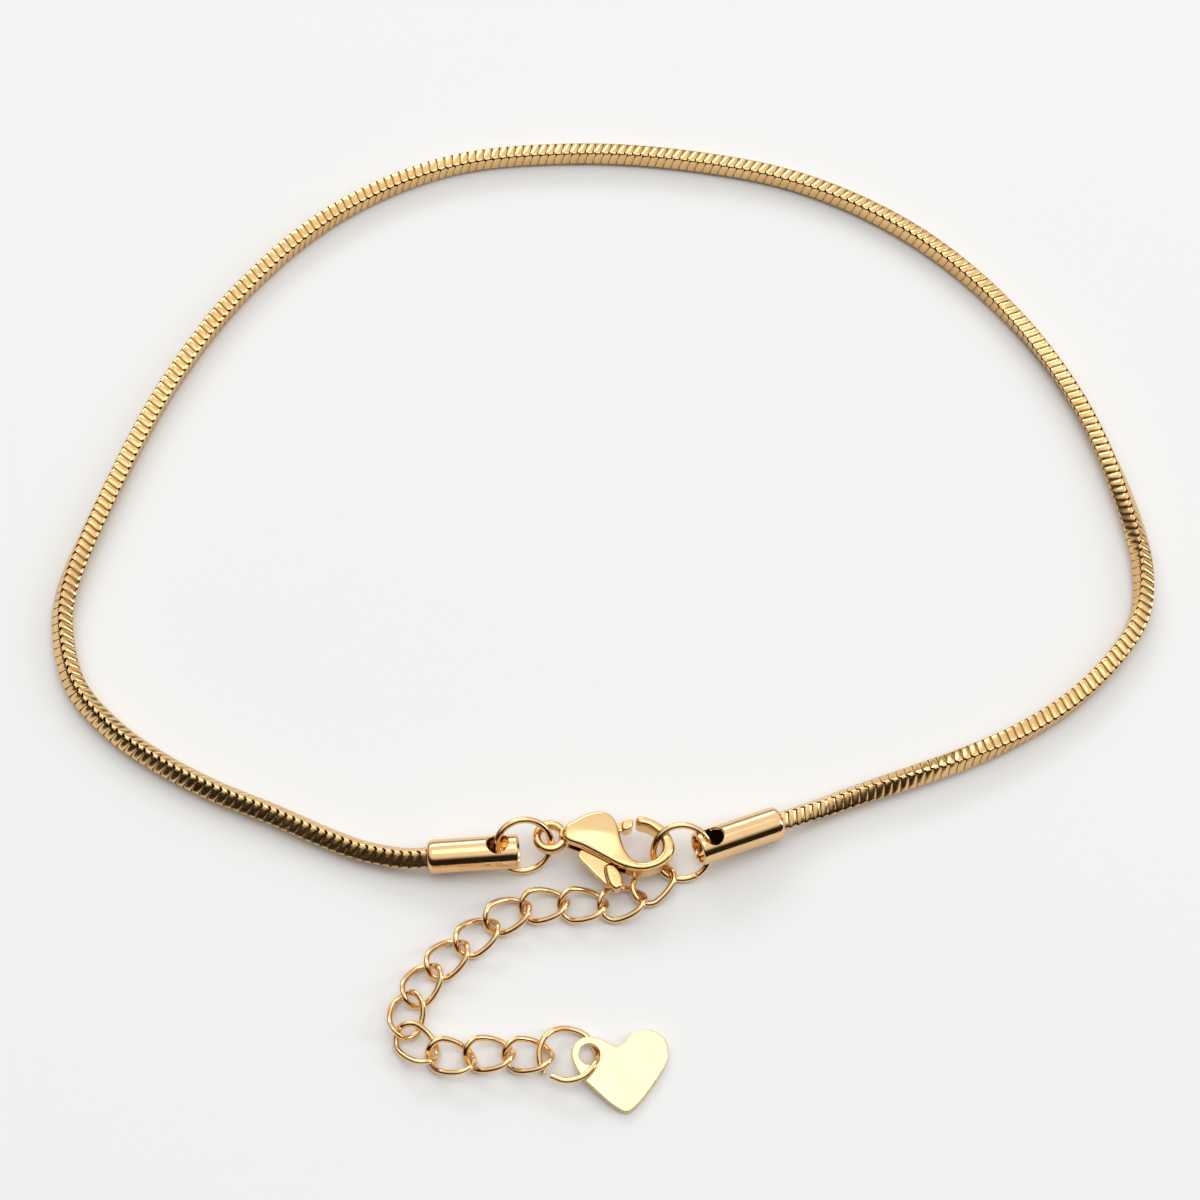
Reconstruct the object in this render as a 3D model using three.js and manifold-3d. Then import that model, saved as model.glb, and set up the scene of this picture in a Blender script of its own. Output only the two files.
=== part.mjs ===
// Chain anklet: a gold-coloured square snake chain lying in an open loop, with a tubular cap on
// each end, two jump rings, a lobster clasp with a sprung lever, an extender of thirteen
// twisted links and a heart-shaped tag on the last ring.
// Millimetres, +Z up. The anklet lies on the plane z = 0; the clasp is towards -Y.
import * as THREE from 'three';
import Module from 'manifold-3d';
import { mergeVertices } from 'three/addons/utils/BufferGeometryUtils.js';

// ---------------------------------------------------------------- driving dimensions
const CENTRE = { x: 0.65, y: 0.3 }; // middle of the outline, moved to the origin

const CHAIN_SIDE = 1.3; // across two opposite faces
const CHAIN_CHAMFER = 0.16;
const CHAIN_STEPS = 80;

const CAP_LENGTH = 6.6;
const CAP_RADIUS = 1.25;
const CAP_BORE = 1.0;
const CAP_NECK_BORE = 0.93;
const CAP_HOLE_RADIUS = 0.8;
const RING_CLEARANCE = 0.1; // kept round a ring's wire where it passes through a piece

const RING_WIRE = 0.25; // wire radius of the jump rings
const LINK_WIRE = 0.23; // wire radius of the extender links
const LINK_BEND = 1.17; // centreline radius of a link's two round ends
const LINK_STRAIGHT = 1.05; // straight run between them

const CLASP_BOTTOM = 0.98;
const CLASP_THICKNESS = 1.65;
const LEVER_BOTTOM = 1.54;
const LEVER_THICKNESS = 0.46;
const SLOT_BOTTOM = 1.42;
const SLOT_HEIGHT = 0.7;
const PIVOT = { x: 1.5, y: -19.8 };

const TAG_THICKNESS = 0.42;
const TAG_HOLE = { x: 2.0, y: -36.65, radius: 0.76 };
const TAG_LEAN = -6; // degrees, lifting the holed lobe

// ---------------------------------------------------------------- finishes
const gold = (name, color, roughness) =>
  new THREE.MeshStandardMaterial({ name, color, roughness, metalness: 1 });
const chainGold = gold('chain_gold', 0xcda269, 0.3);
const polishedGold = gold('polished_gold', 0xd9b07c, 0.2);
const claspGold = gold('clasp_gold', 0xd8b27e, 0.25);
const tagGold = gold('tag_gold', 0xe8cfa6, 0.28);

// ---------------------------------------------------------------- solids
const wasm = await Module();
wasm.setup();

/** Closed three.js geometry -> manifold solid, optionally placed by a matrix. */
function solid(geometry, matrix) {
  const bare = geometry.clone();
  bare.deleteAttribute('normal');
  bare.deleteAttribute('uv');
  if (matrix) bare.applyMatrix4(matrix);
  const merged = mergeVertices(bare, 1e-4);
  return new wasm.Manifold(
    new wasm.Mesh({
      numProp: 3,
      vertProperties: new Float32Array(merged.attributes.position.array),
      triVerts: new Uint32Array(merged.index.array),
    }),
  );
}

/** Manifold solid -> three.js geometry. */
function geometryOf(body) {
  const mesh = body.getMesh();
  const geometry = new THREE.BufferGeometry();
  geometry.setAttribute('position', new THREE.BufferAttribute(mesh.vertProperties, 3));
  geometry.setIndex(new THREE.BufferAttribute(mesh.triVerts, 1));
  geometry.computeVertexNormals();
  return geometry;
}

/** Matrix that carries local +Y onto a direction, with its origin at a point. */
function along(origin, direction) {
  const turn = new THREE.Quaternion();
  turn.setFromUnitVectors(new THREE.Vector3(0, 1, 0), direction.clone().normalize());
  return new THREE.Matrix4().compose(origin, turn, new THREE.Vector3(1, 1, 1));
}

/** Cylinder from a start point along a direction. */
function rod(start, direction, length, radius, sides = 20) {
  const geometry = new THREE.CylinderGeometry(radius, radius, length, sides);
  geometry.translate(0, length / 2, 0);
  return solid(geometry, along(start, direction));
}

/** Plate cut to an outline given as rows of { x, y }; its edges may be bevelled. */
function plate(outline, bottom, thickness, bevel = 0, smooth = true, perSpan = 3) {
  const corners = outline.map((p) => new THREE.Vector2(p.x, p.y));
  let shape = new THREE.Shape(corners);
  if (smooth) {
    const curve = new THREE.CatmullRomCurve3(
      outline.map((p) => new THREE.Vector3(p.x, p.y, 0)), true, 'centripetal');
    const points = curve.getPoints(outline.length * perSpan).slice(0, -1);
    shape = new THREE.Shape(points.map((p) => new THREE.Vector2(p.x, p.y)));
  }
  const geometry = new THREE.ExtrudeGeometry(shape, {
    depth: thickness - 2 * bevel,
    bevelEnabled: bevel > 0,
    bevelThickness: bevel,
    bevelSize: bevel,
    bevelOffset: -bevel,
    bevelSegments: 1,
    curveSegments: 4,
  });
  geometry.translate(0, 0, bottom + bevel);
  return geometry;
}

const anklet = new THREE.Group();
anklet.position.set(-CENTRE.x, -CENTRE.y, 0);

function addPiece(name, geometry, material) {
  const mesh = new THREE.Mesh(geometry, material);
  mesh.name = name;
  anklet.add(mesh);
  return mesh;
}

// ---------------------------------------------------------------- snake chain
// Centreline of the chain in plan, clockwise from the left cap. z is the least height of the
// centreline, which is above the resting height only where the chain enters a cap.
const chainRoute = [
  { x: -9.8, y: -22.78, z: 1.36 },
  { x: -10.8, y: -22.9, z: 1.25 },
  { x: -12.4, y: -23.05, z: 1.08 },
  { x: -15.2, y: -22.75, z: 0.86 },
  { x: -18.3, y: -21.9, z: 0.5 },
  { x: -22.5, y: -20.4, z: 0.5 },
  { x: -26.8, y: -19.0, z: 0.5 },
  { x: -31.0, y: -17.2, z: 0.5 },
  { x: -35.0, y: -14.8, z: 0.5 },
  { x: -38.4, y: -11.4, z: 0.5 },
  { x: -40.1, y: -6.7, z: 0.5 },
  { x: -40.2, y: -3.2, z: 0.5 },
  { x: -38.2, y: 5.6, z: 0.5 },
  { x: -35.1, y: 15.5, z: 0.5 },
  { x: -30.5, y: 24.8, z: 0.5 },
  { x: -24.0, y: 32.8, z: 0.5 },
  { x: -15.6, y: 38.3, z: 0.5 },
  { x: -6.0, y: 40.6, z: 0.5 },
  { x: 3.9, y: 41.0, z: 0.5 },
  { x: 13.6, y: 39.7, z: 0.5 },
  { x: 22.7, y: 35.7, z: 0.5 },
  { x: 30.5, y: 29.2, z: 0.5 },
  { x: 36.5, y: 20.9, z: 0.5 },
  { x: 40.4, y: 11.4, z: 0.5 },
  { x: 41.5, y: 6.4, z: 0.5 },
  { x: 41.3, y: 2.4, z: 0.5 },
  { x: 39.6, y: -1.1, z: 0.5 },
  { x: 36.4, y: -5.1, z: 0.5 },
  { x: 32.7, y: -8.2, z: 0.5 },
  { x: 28.7, y: -10.7, z: 0.5 },
  { x: 24.5, y: -12.8, z: 0.5 },
  { x: 20.4, y: -14.7, z: 0.5 },
  { x: 17.2, y: -16.3, z: 0.9 },
  { x: 14.5, y: -17.7, z: 1.25 },
  { x: 13.6, y: -18.17, z: 1.36 },
];

// The square section rolls slowly about the centreline: run is the distance in millimetres
// from the start, roll the lean in degrees of one chosen face from upright to the inner side.
const chainRoll = [
  { run: 0, roll: 54 },
  { run: 15, roll: 50 },
  { run: 27, roll: 40 },
  { run: 36, roll: 38 },
  { run: 43, roll: 25 },
  { run: 53, roll: 6 },
  { run: 75, roll: -1 },
  { run: 90, roll: -4 },
  { run: 104, roll: -12 },
  { run: 119, roll: -7 },
  { run: 131, roll: -13 },
  { run: 139, roll: -4 },
  { run: 146, roll: 15 },
  { run: 156, roll: 25 },
  { run: 162, roll: 43 },
  { run: 170, roll: 76 },
  { run: 178, roll: 86 },
  { run: 185, roll: 95 },
  { run: 191, roll: 117 },
  { run: 198, roll: 143 },
  { run: 205, roll: 156 },
];

const DEG = Math.PI / 180;
const UP = new THREE.Vector3(0, 0, 1);

function rollAt(run) {
  const next = chainRoll.findIndex((row) => row.run > run);
  if (next < 1) return (next === 0 ? chainRoll[0] : chainRoll.at(-1)).roll;
  const before = chainRoll[next - 1];
  const after = chainRoll[next];
  const t = (run - before.run) / (after.run - before.run);
  return before.roll + (after.roll - before.roll) * t;
}

function chainSection() {
  const half = CHAIN_SIDE / 2;
  const flat = half - CHAIN_CHAMFER;
  return [
    new THREE.Vector2(half, -flat),
    new THREE.Vector2(half, flat),
    new THREE.Vector2(flat, half),
    new THREE.Vector2(-flat, half),
    new THREE.Vector2(-half, flat),
    new THREE.Vector2(-half, -flat),
    new THREE.Vector2(-flat, -half),
    new THREE.Vector2(flat, -half),
  ];
}

function chainGeometry() {
  const route = new THREE.CatmullRomCurve3(
    chainRoute.map((p) => new THREE.Vector3(p.x, p.y, p.z)), false, 'centripetal');
  route.arcLengthDivisions = 800;
  const length = route.getLength();
  const section = chainSection();
  const bar = new THREE.ExtrudeGeometry(new THREE.Shape(section), {
    depth: length,
    steps: CHAIN_STEPS,
    bevelEnabled: false,
  });
  const position = bar.attributes.position;
  for (let i = 0; i < position.count; i += 1) {
    const run = position.getZ(i);
    const u = Math.min(1, run / length);
    const centre = route.getPointAt(u);
    const tangent = route.getTangentAt(u);
    const inward = new THREE.Vector3().crossVectors(tangent, UP).normalize();
    const over = new THREE.Vector3().crossVectors(inward, tangent).normalize();
    const roll = rollAt(run) * DEG;
    const face = over.multiplyScalar(Math.cos(roll)).addScaledVector(inward, Math.sin(roll));
    const side = new THREE.Vector3().crossVectors(face, tangent).normalize();
    const reach = section.map((p) => -(p.x * side.z + p.y * face.z));
    centre.z = Math.max(centre.z, Math.max(...reach));
    centre.addScaledVector(side, position.getX(i)).addScaledVector(face, position.getY(i));
    position.setXYZ(i, centre.x, centre.y, centre.z);
  }
  return bar;
}

addPiece('snake_chain', chainGeometry(), chainGold);

// ---------------------------------------------------------------- jump rings
const jumpRings = [
  { name: 'jump_ring_left', x: -4.0, y: -21.55, z: 1.76, radius: 2.03, tilt: 47, lean: 4, yaw: 12 },
  { name: 'jump_ring_right', x: 7.55, y: -20.95, z: 1.66, radius: 2.08, tilt: 43, lean: -3, yaw: 6 },
];

/** The room a ring's wire needs, as a solid to cut from its neighbours. */
function ringRoom(ring) {
  const torus = new THREE.TorusGeometry(ring.radius, RING_WIRE + RING_CLEARANCE, 10, 48);
  const turn = new THREE.Euler(ring.tilt * DEG, ring.lean * DEG, ring.yaw * DEG, 'ZYX');
  const place = new THREE.Matrix4().makeRotationFromEuler(turn);
  return solid(torus, place.setPosition(ring.x, ring.y, ring.z));
}

for (const ring of jumpRings) {
  const torus = new THREE.TorusGeometry(ring.radius, RING_WIRE, 8, 36);
  const piece = addPiece(ring.name, torus, polishedGold);
  piece.position.set(ring.x, ring.y, ring.z);
  piece.rotation.set(ring.tilt * DEG, ring.lean * DEG, ring.yaw * DEG, 'ZYX');
}

// ---------------------------------------------------------------- end caps
const caps = [
  {
    name: 'end_cap_left', ring: jumpRings[0], holeFromEnd: 1.45,
    chainEnd: new THREE.Vector3(-10.8, -22.9, 1.25),
    openEnd: new THREE.Vector3(-4.3, -22.1, 2.0),
  },
  {
    name: 'end_cap_right', ring: jumpRings[1], holeFromEnd: 1.15,
    chainEnd: new THREE.Vector3(14.5, -17.7, 1.25),
    openEnd: new THREE.Vector3(8.6, -20.8, 2.0),
  },
];

function capGeometry(cap) {
  const axis = cap.openEnd.clone().sub(cap.chainEnd).normalize();
  const profile = [
    [CAP_NECK_BORE, 0],
    [CAP_NECK_BORE + 0.1, 0],
    [CAP_RADIUS - 0.08, 0.18],
    [CAP_RADIUS, 0.5],
    [CAP_RADIUS, CAP_LENGTH - 0.1],
    [CAP_RADIUS - 0.08, CAP_LENGTH],
    [CAP_BORE, CAP_LENGTH],
    [CAP_BORE, 1.3],
    [CAP_NECK_BORE, 1.1],
    [CAP_NECK_BORE, 0],
  ];
  const shell = new THREE.LatheGeometry(profile.map((p) => new THREE.Vector2(p[0], p[1])), 24);
  let body = solid(shell, along(cap.chainEnd, axis));
  // Cross hole on top, leaning back a little; the ring's own room opens the way out below.
  const hole = cap.openEnd.clone().addScaledVector(axis, -cap.holeFromEnd);
  const back = new THREE.Vector3().crossVectors(UP, axis).normalize();
  if (back.y < 0) back.negate();
  const drill = back.multiplyScalar(0.27).add(UP);
  body = body.subtract(rod(hole, drill, 3, CAP_HOLE_RADIUS));
  return geometryOf(body.subtract(ringRoom(cap.ring)));
}

for (const cap of caps) addPiece(cap.name, capGeometry(cap), polishedGold);

// ---------------------------------------------------------------- lobster clasp
const claspOutline = [
  { x: -1.1, y: -21.0 },
  { x: 0.4, y: -21.6 },
  { x: 1.8, y: -22.2 },
  { x: 3.2, y: -22.8 },
  { x: 4.6, y: -23.0 },
  { x: 5.7, y: -22.7 },
  { x: 6.6, y: -22.0 },
  { x: 7.0, y: -21.1 },
  { x: 6.8, y: -20.2 },
  { x: 6.2, y: -19.4 },
  { x: 5.2, y: -18.85 },
  { x: 4.15, y: -18.7 },
  { x: 3.98, y: -19.0 },
  { x: 4.15, y: -19.35 },
  { x: 4.9, y: -19.5 },
  { x: 5.65, y: -20.0 },
  { x: 6.05, y: -20.7 },
  { x: 6.0, y: -21.4 },
  { x: 5.5, y: -22.0 },
  { x: 4.7, y: -22.3 },
  { x: 4.0, y: -22.1 },
  { x: 3.4, y: -21.4 },
  { x: 3.0, y: -20.4 },
  { x: 2.7, y: -19.5 },
  { x: 2.3, y: -18.9 },
  { x: 1.5, y: -18.55 },
  { x: 0.5, y: -18.8 },
  { x: -0.4, y: -19.4 },
  { x: -1.1, y: -20.0 },
];

const leverSlot = [
  { x: 0.8, y: -19.9 },
  { x: 0.95, y: -19.25 },
  { x: 1.5, y: -18.98 },
  { x: 2.2, y: -19.05 },
  { x: 3.5, y: -18.7 },
  { x: 3.5, y: -20.9 },
  { x: 2.9, y: -20.95 },
  { x: 2.85, y: -21.3 },
  { x: 3.5, y: -22.5 },
  { x: 3.9, y: -24.5 },
  { x: -0.1, y: -24.5 },
  { x: 0.2, y: -22.0 },
  { x: 0.7, y: -20.5 },
];

const leverOutline = [
  { x: 1.0, y: -19.8 },
  { x: 1.15, y: -19.4 },
  { x: 1.5, y: -19.25 },
  { x: 2.4, y: -19.2 },
  { x: 3.4, y: -19.0 },
  { x: 3.4, y: -19.75 },
  { x: 2.5, y: -20.0 },
  { x: 2.3, y: -20.6 },
  { x: 2.7, y: -21.8 },
  { x: 3.2, y: -23.1 },
  { x: 2.3, y: -23.2 },
  { x: 1.8, y: -22.2 },
  { x: 1.3, y: -20.7 },
];

const leverNose = [
  { x: 3.12, y: -19.05 },
  { x: 3.8, y: -18.95 },
  { x: 3.82, y: -19.4 },
  { x: 3.6, y: -19.75 },
  { x: 3.15, y: -19.8 },
];

const leverKnob = [
  { x: 2.2, y: -23.0 },
  { x: 2.85, y: -22.95 },
  { x: 3.5, y: -23.1 },
  { x: 3.6, y: -23.7 },
  { x: 3.2, y: -24.2 },
  { x: 2.7, y: -24.2 },
  { x: 2.2, y: -23.65 },
];

function claspBody() {
  let body = solid(plate(claspOutline, CLASP_BOTTOM, CLASP_THICKNESS, 0.18, true, 2));
  const slot = plate(leverSlot, SLOT_BOTTOM, SLOT_HEIGHT, 0, false);
  body = body.subtract(solid(slot));
  const pin = new THREE.Vector3(PIVOT.x, PIVOT.y, SLOT_BOTTOM - 0.2);
  body = body.add(rod(pin, UP, SLOT_HEIGHT + 0.4, 0.28, 16));
  const eye = new THREE.TorusGeometry(0.98, 0.34, 8, 24);
  eye.scale(1, 1, 1.3);
  const place = new THREE.Matrix4().makeTranslation(-2.1, -20.7, 1.72);
  const neck = new THREE.BoxGeometry(0.9, 0.8, 0.9);
  const neckPlace = new THREE.Matrix4().makeTranslation(-0.98, -20.5, 1.72);
  body = body.add(solid(eye, place));
  body = body.add(solid(neck, neckPlace));
  return geometryOf(body.subtract(ringRoom(jumpRings[0])).subtract(ringRoom(jumpRings[1])));
}

function claspLever() {
  let lever = solid(plate(leverOutline, LEVER_BOTTOM, LEVER_THICKNESS, 0, true, 2));
  lever = lever.add(solid(plate(leverNose, 1.15, 1.2, 0.1, true, 2)));
  lever = lever.add(solid(plate(leverKnob, 1.45, 0.95, 0.15, true, 2)));
  const bore = new THREE.Vector3(PIVOT.x, PIVOT.y, LEVER_BOTTOM - 0.3);
  return geometryOf(lever.subtract(rod(bore, UP, LEVER_THICKNESS + 0.6, 0.34, 16)));
}

addPiece('clasp_body', claspBody(), claspGold);
addPiece('clasp_lever', claspLever(), claspGold);

// ---------------------------------------------------------------- extender links
// Middle of each link, the heading of its long axis, and the degrees each end is twisted.
const extenderLinks = [
  { x: 5.65, y: -23.13, z: 0.58, heading: 231, twist: -26 },
  { x: 3.5, y: -24.9, z: 0.74, heading: 202, twist: -42 },
  { x: 0.7, y: -25.35, z: 0.74, heading: 186, twist: -42 },
  { x: -2.1, y: -25.6, z: 0.74, heading: 194, twist: -42 },
  { x: -4.7, y: -26.6, z: 0.74, heading: 212, twist: -42 },
  { x: -6.75, y: -28.45, z: 0.74, heading: 222, twist: -42 },
  { x: -8.7, y: -30.35, z: 0.74, heading: 228, twist: -42 },
  { x: -10.3, y: -32.5, z: 0.74, heading: 242, twist: -42 },
  { x: -11.15, y: -34.9, z: 0.74, heading: 268, twist: -42 },
  { x: -10.2, y: -37.05, z: 0.74, heading: 324, twist: -42 },
  { x: -7.65, y: -37.75, z: 0.74, heading: 350, twist: -42 },
  { x: -5.0, y: -37.25, z: 0.74, heading: 6, twist: -42 },
  { x: -2.25, y: -37.1, z: 0.74, heading: 3, twist: -42 },
];

/** Oval wire link, its long axis on X, twisted so that its ends cross its neighbours. */
function linkGeometry(twist) {
  const link = new THREE.TorusGeometry(LINK_BEND, LINK_WIRE, 8, 24);
  const position = link.attributes.position;
  const reach = LINK_BEND + LINK_STRAIGHT / 2;
  for (let i = 0; i < position.count; i += 1) {
    const x0 = position.getX(i);
    const spread = Math.max(-1, Math.min(1, x0 / 0.35));
    const x = x0 + (spread * LINK_STRAIGHT) / 2;
    const turn = twist * DEG * (x / reach);
    const y = position.getY(i);
    const z = position.getZ(i);
    position.setXYZ(i, x, y * Math.cos(turn) - z * Math.sin(turn),
      y * Math.sin(turn) + z * Math.cos(turn));
  }
  link.computeVertexNormals();
  return link;
}

extenderLinks.forEach((row, i) => {
  const name = `extender_link_${String(i + 1).padStart(2, '0')}`;
  const piece = addPiece(name, linkGeometry(row.twist), polishedGold);
  piece.position.set(row.x, row.y, row.z);
  piece.rotation.z = row.heading * DEG;
});

// ---------------------------------------------------------------- tail ring and heart tag
const TAIL_RING = { x: 0.55, y: -36.8, radius: 2.05, wire: 0.23 };

// Height of the open tail ring's wire round its circle, counted from +X: the far side lies
// under the tag, the wire climbs through the tag's hole, and the near side lies over the tag.
const tailRingRise = [
  { degrees: -122, z: 0.95 },
  { degrees: -90, z: 1.1 },
  { degrees: -55, z: 1.25 },
  { degrees: -25, z: 1.24 },
  { degrees: -14, z: 1.1 },
  { degrees: 0, z: 0.72 },
  { degrees: 14, z: 0.38 },
  { degrees: 25, z: 0.25 },
  { degrees: 60, z: 0.25 },
  { degrees: 95, z: 0.4 },
  { degrees: 125, z: 0.75 },
  { degrees: 150, z: 0.95 },
  { degrees: 180, z: 0.7 },
  { degrees: 205, z: 0.35 },
  { degrees: 222, z: 0.25 },
];

/** Open wire ring: a tube along most of a circle, leaving a narrow gap. */
function tailRingGeometry(wire) {
  const points = tailRingRise.map((row) => new THREE.Vector3(
    TAIL_RING.x + TAIL_RING.radius * Math.cos(row.degrees * DEG),
    TAIL_RING.y + TAIL_RING.radius * Math.sin(row.degrees * DEG),
    row.z,
  ));
  const section = new THREE.Shape();
  section.absarc(0, 0, wire, 0, 2 * Math.PI);
  return new THREE.ExtrudeGeometry(section, {
    steps: 40,
    curveSegments: 8,
    bevelEnabled: false,
    extrudePath: new THREE.CatmullRomCurve3(points, false, 'centripetal'),
  });
}

const heartOutline = [
  { x: 0.76, y: -36.9 },
  { x: 0.85, y: -36.1 },
  { x: 1.5, y: -35.45 },
  { x: 2.6, y: -35.4 },
  { x: 4.05, y: -35.85 },
  { x: 4.9, y: -34.8 },
  { x: 6.1, y: -34.35 },
  { x: 7.2, y: -34.8 },
  { x: 7.6, y: -35.8 },
  { x: 7.4, y: -36.9 },
  { x: 6.6, y: -38.5 },
  { x: 5.7, y: -39.9 },
  { x: 5.0, y: -40.5 },
  { x: 4.1, y: -40.2 },
  { x: 2.8, y: -39.3 },
  { x: 1.5, y: -38.2 },
];

/** Flat tag resting on its right lobe and its point, its holed lobe lifted by the ring. */
function heartGeometry() {
  const blank = solid(plate(heartOutline, 0, TAG_THICKNESS, 0.08, true, 3));
  const hole = new THREE.Vector3(TAG_HOLE.x, TAG_HOLE.y, -1);
  const lobe = new THREE.Vector3(7.6, -35.8, 0);
  const point = new THREE.Vector3(5.0, -40.5, 0);
  const hinge = point.sub(lobe).normalize();
  const geometry = geometryOf(blank.subtract(rod(hole, UP, 3, TAG_HOLE.radius, 24)));
  geometry.translate(-lobe.x, -lobe.y, 0);
  geometry.applyMatrix4(new THREE.Matrix4().makeRotationAxis(hinge, TAG_LEAN * DEG));
  geometry.translate(lobe.x, lobe.y, 0.04);
  const room = solid(tailRingGeometry(TAIL_RING.wire + 0.08));
  return geometryOf(solid(geometry).subtract(room));
}

addPiece('tail_ring', tailRingGeometry(TAIL_RING.wire), polishedGold);
addPiece('heart_tag', heartGeometry(), tagGold);

export default anklet;
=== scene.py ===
"""Chain anklet: square snake chain, tube caps, jump rings, lobster clasp, extender and heart tag.

Shapes are worked out in millimetres in the drawing's own axes and are brought to metres in the
row frame when a piece is finished.
"""
import logging
import math
from dataclasses import dataclass, field
from enum import Enum

import bmesh
import bpy
import numpy as np
from mathutils import Matrix, Vector


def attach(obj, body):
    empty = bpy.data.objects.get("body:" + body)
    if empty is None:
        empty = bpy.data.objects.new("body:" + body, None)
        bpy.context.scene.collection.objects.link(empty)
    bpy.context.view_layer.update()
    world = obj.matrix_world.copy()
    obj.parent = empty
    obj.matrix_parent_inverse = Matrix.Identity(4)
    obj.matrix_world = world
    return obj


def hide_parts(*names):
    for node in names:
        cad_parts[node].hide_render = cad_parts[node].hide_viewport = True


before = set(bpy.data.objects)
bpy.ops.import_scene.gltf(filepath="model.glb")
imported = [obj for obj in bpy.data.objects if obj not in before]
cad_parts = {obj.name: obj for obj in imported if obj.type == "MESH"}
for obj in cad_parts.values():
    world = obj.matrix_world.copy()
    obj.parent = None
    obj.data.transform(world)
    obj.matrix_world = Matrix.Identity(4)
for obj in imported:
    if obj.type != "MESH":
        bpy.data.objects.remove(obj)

LOG = logging.getLogger("anklet")
MM = 0.001
CENTRE = np.array([0.65, 0.3, 0.0])
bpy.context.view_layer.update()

Point = tuple[float, float, float]
Outline = tuple[tuple[float, float], ...]


class Body(Enum):
    """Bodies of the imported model."""

    ANKLET = "anklet"
    LEVER = "lever"


class Ends(Enum):
    """How a wire's two ends are made."""

    JOINED = "joined"
    CUT = "cut"


# ---------------------------------------------------------------- curves and meshes
def spline(points: np.ndarray, closed: bool, per_span: int) -> np.ndarray:
    """Centripetal Catmull-Rom curve through points.

    Args:
        points: Rows of coordinates.
        closed: True if the last point joins the first.
        per_span: Steps between two points.

    Returns:
        Rows along the curve; an open curve includes both ends.
    """
    pts = np.asarray(points, float)
    n = len(pts)
    if closed:
        ring = np.vstack([pts[-1:], pts, pts[:2]])
        spans = n
    else:
        ring = np.vstack([2 * pts[:1] - pts[1:2], pts, 2 * pts[-1:] - pts[-2:-1]])
        spans = n - 1
    rows = []
    for i in range(spans):
        p0, p1, p2, p3 = ring[i : i + 4]
        d0, d1, d2 = (math.sqrt(np.linalg.norm(b - a)) for a, b in ((p0, p1), (p1, p2), (p2, p3)))
        t1 = ((p1 - p0) / d0 - (p2 - p0) / (d0 + d1) + (p2 - p1) / d1) * d1
        t2 = ((p2 - p1) / d1 - (p3 - p1) / (d1 + d2) + (p3 - p2) / d2) * d1
        for s in np.arange(per_span) / per_span:
            rows.append(
                p1 * (2 * s**3 - 3 * s**2 + 1) + t1 * (s**3 - 2 * s**2 + s)
                + p2 * (3 * s**2 - 2 * s**3) + t2 * (s**3 - s**2)
            )
    if not closed:
        rows.append(pts[-1])
    return np.array(rows)


def spread_evenly(points: np.ndarray, count: int) -> tuple[np.ndarray, float]:
    """Places points at equal distances along a dense open line.

    Args:
        points: Dense rows along the line.
        count: How many points to return.

    Returns:
        The new rows and the line's length.
    """
    run = np.concatenate([[0], np.cumsum(np.linalg.norm(np.diff(points, axis=0), axis=1))])
    at = np.linspace(0, run[-1], count)
    return np.stack([np.interp(at, run, points[:, k]) for k in range(3)], axis=1), float(run[-1])


def new_mesh(name: str, verts: np.ndarray, faces: list, smooth: bool = True) -> bpy.types.Mesh:
    """Mesh from rows of vertices and faces.

    Args:
        name: Name of the mesh.
        verts: Rows of coordinates in millimetres.
        faces: Vertex numbers of each face.
        smooth: True for smooth shading.

    Returns:
        The mesh.
    """
    mesh = bpy.data.meshes.new(name)
    mesh.from_pydata([tuple(v) for v in np.asarray(verts, float)], [], faces)
    mesh.update()
    mesh.polygons.foreach_set("use_smooth", [smooth] * len(mesh.polygons))
    return mesh


def outward(mesh: bpy.types.Mesh) -> bpy.types.Mesh:
    """Turns a closed mesh's faces outwards and returns it."""
    bm = bmesh.new()
    bm.from_mesh(mesh)
    bmesh.ops.recalc_face_normals(bm, faces=bm.faces)
    bm.to_mesh(mesh)
    bm.free()
    return mesh


def joined(name: str, meshes: list[bpy.types.Mesh]) -> bpy.types.Mesh:
    """One mesh that holds several.

    Args:
        name: Name of the new mesh.
        meshes: Meshes to take in; they are removed.

    Returns:
        The new mesh.
    """
    bm = bmesh.new()
    for mesh in meshes:
        bm.from_mesh(mesh)
        bpy.data.meshes.remove(mesh)
    mesh = bpy.data.meshes.new(name)
    bm.to_mesh(mesh)
    bm.free()
    return mesh


def loops(rings: list[np.ndarray], around: bool, ends: bool, wrap: bool = False) -> tuple[np.ndarray, list]:
    """Skin over a row of equal rings.

    Args:
        rings: Rings of points, all of one length.
        around: True if each ring is closed.
        ends: True to close the first and last ring with a face.
        wrap: True to join the last ring to the first.

    Returns:
        Vertices and faces.
    """
    n = len(rings[0])
    count = len(rings)
    faces = []
    for i in range(count if wrap else count - 1):
        j = (i + 1) % count
        for k in range(n if around else n - 1):
            m = (k + 1) % n
            faces.append((i * n + k, i * n + m, j * n + m, j * n + k))
    if ends:
        faces.append(tuple(range(n))[::-1])
        faces.append(tuple(range((count - 1) * n, count * n)))
    return np.vstack(rings), faces


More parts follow.
